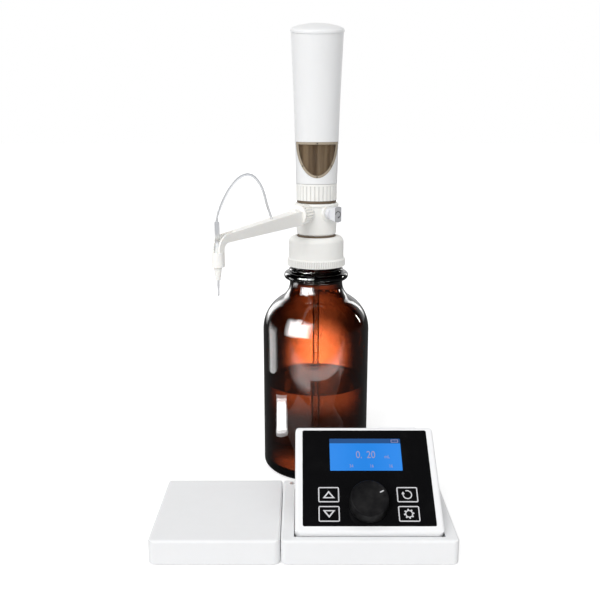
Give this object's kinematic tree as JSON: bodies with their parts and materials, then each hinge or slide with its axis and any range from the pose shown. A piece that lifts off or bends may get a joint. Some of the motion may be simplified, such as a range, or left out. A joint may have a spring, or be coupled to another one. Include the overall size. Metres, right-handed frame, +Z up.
{
  "type": "digital burette",
  "caption": "Motor-driven bottle-top burette on an amber reagent bottle, with a side arm and fine nozzle, a tilting control panel with knob and display, and a flat stirrer plate.",
  "frame": {"origin": "middle of the footprint, on the table", "axes": "+Z up along the bottle's axis, -Y towards the user, +X from the stirrer plate to the control plate"},
  "size_m": [0.2384, 0.2358, 0.4168],
  "materials": {
    "amber_glass": "dark amber glass, polished",
    "clear_glass": "clear glass",
    "white_shell": "moulded white plastic, fine satin",
    "white_head": "moulded white plastic, satin",
    "white_fluoro": "warm white engineering plastic",
    "white_arm": "warm white plastic",
    "cool_white": "cool white plastic",
    "clear_tube": "clear tubing",
    "seal_brown": "dark brown seal",
    "bead_red": "polished ball",
    "smoked": "smoked brown",
    "bezel_brown": "smoked brown plastic",
    "pin_dark": "dark plastic",
    "rod_dark": "dark steel",
    "motor_dark": "dark metal",
    "bronze": "bronze",
    "steel": "bright steel",
    "board_green": "green circuit board",
    "cell": "wrapped cell",
    "panel_black": "black back-printed panel",
    "display_blue": "lit blue display",
    "knob_black": "black knurled plastic",
    "mark_grey": "grey light guide",
    "bottom_grey": "dark grey plastic",
    "foot_rubber": "black rubber"
  },
  "bodies": {
    "root": {"bottle": "amber_glass", "bottle_gasket": "seal_brown", "control_cover": "white_shell", "control_bottom": "bottom_grey", "hinge_pins": "steel", "status_mark": "mark_grey", "link_board": "board_green", "stirrer_cover": "white_shell", "stirrer_bottom": "bottom_grey", "stirrer_motor": "motor_dark", "rubber_feet": "foot_rubber", "base_screws": "steel"},
    "cap": {"screw_cap": "white_fluoro"},
    "dispenser": {"valve_block": "white_fluoro", "cap_seal_ring": "seal_brown", "intake_valve": "white_fluoro", "outlet_fitting": "white_fluoro", "dip_tube": "clear_tube", "return_tube": "clear_tube", "block_seal_ring": "seal_brown", "glass_barrel": "clear_glass", "arm": "white_arm", "titration_tube": "clear_tube", "tube_sleeve": "clear_tube", "nozzle_body": "clear_tube", "nozzle_tip": "white_arm", "capillary": "clear_tube"},
    "intake_bead": {"intake_ball": "bead_red"},
    "outlet_bead": {"outlet_ball": "bead_red"},
    "tap": {"valve_key": "cool_white", "valve_knob": "cool_white"},
    "coupling": {"coupling_ring": "white_fluoro"},
    "nut": {"arm_nut": "white_arm"},
    "head": {"head_housing": "white_head", "head_cap": "white_head", "window_bezel": "bezel_brown", "window_pane": "smoked", "window_pins": "pin_dark", "drive_motor": "motor_dark", "guide_rod": "steel", "head_board": "board_green", "head_battery": "cell"},
    "drive": {"drive_nut": "bronze"},
    "plunger": {"piston": "white_fluoro", "piston_seal": "seal_brown", "piston_rod": "rod_dark", "rod_guide": "white_arm"},
    "panel": {"panel_housing": "white_shell", "panel_back": "white_shell", "panel_glass": "panel_black", "display_module": "display_blue", "panel_board": "board_green", "encoder": "motor_dark", "panel_battery": "cell", "panel_screws": "steel", "port_flap": "white_shell"},
    "dial": {"knob_shaft": "steel", "control_knob": "knob_black"},
    "rotor": {"magnet_rotor": "motor_dark", "magnets": "steel"}
  },
  "joints": [
    {"name": "dispenser_swivel", "type": "hinge", "parent": "root", "child": "dispenser", "pos_m": [0.0125, 0.06745, 0.2502], "axis": [0, 0, 1], "continuous": true},
    {"name": "cap_turn", "type": "hinge", "parent": "root", "child": "cap", "pos_m": [0.0125, 0.06745, 0.213], "axis": [0, 0, 1], "range_deg": [0, 90]},
    {"name": "intake_ball_lift", "type": "slide", "parent": "dispenser", "child": "intake_bead", "axis": [0, 0, 1], "range_m": [0, 0.0012]},
    {"name": "outlet_ball_shift", "type": "slide", "parent": "dispenser", "child": "outlet_bead", "axis": [-0.5, -0.866, 0], "range_m": [0, 0.0012]},
    {"name": "tap_turn", "type": "hinge", "parent": "dispenser", "child": "tap", "pos_m": [0.0125, 0.06745, 0.2502], "axis": [0.5736, -0.8192, 0], "range_deg": [0, 90]},
    {"name": "coupling_turn", "type": "hinge", "parent": "dispenser", "child": "coupling", "pos_m": [0.0125, 0.06745, 0.269], "axis": [0, 0, 1], "range_deg": [0, 60]},
    {"name": "nut_turn", "type": "hinge", "parent": "dispenser", "child": "nut", "pos_m": [0.0125, 0.06745, 0.2502], "axis": [-0.5, -0.866, 0], "range_deg": [0, 90]},
    {"name": "head_swivel", "type": "hinge", "parent": "dispenser", "child": "head", "pos_m": [0.0125, 0.06745, 0.3], "axis": [0, 0, 1], "continuous": true},
    {"name": "piston_slide", "type": "slide", "parent": "head", "child": "plunger", "axis": [0, 0, 1], "range_m": [0, 0.034]},
    {"name": "drive_turn", "type": "hinge", "parent": "head", "child": "drive", "pos_m": [0.0125, 0.06745, 0.34], "axis": [0, 0, 1], "range_deg": [0, 1540]},
    {"name": "panel_tilt", "type": "hinge", "parent": "root", "child": "panel", "pos_m": [0.0508, -0.10123, 0.01723], "axis": [1, 0, 0], "range_deg": [-37, 0]},
    {"name": "dial_turn", "type": "hinge", "parent": "panel", "child": "dial", "pos_m": [0.0508, -0.09652, 0.03956], "axis": [0, -0.6018, 0.7986], "continuous": true},
    {"name": "rotor_spin", "type": "hinge", "parent": "root", "child": "rotor", "pos_m": [-0.0686, -0.06745, 0.013], "axis": [0, 0, 1], "continuous": true}
  ],
  "couplings": [
    {"joint": "drive_turn", "follows": "piston_slide", "rad_per_m": 785.4}
  ]
}
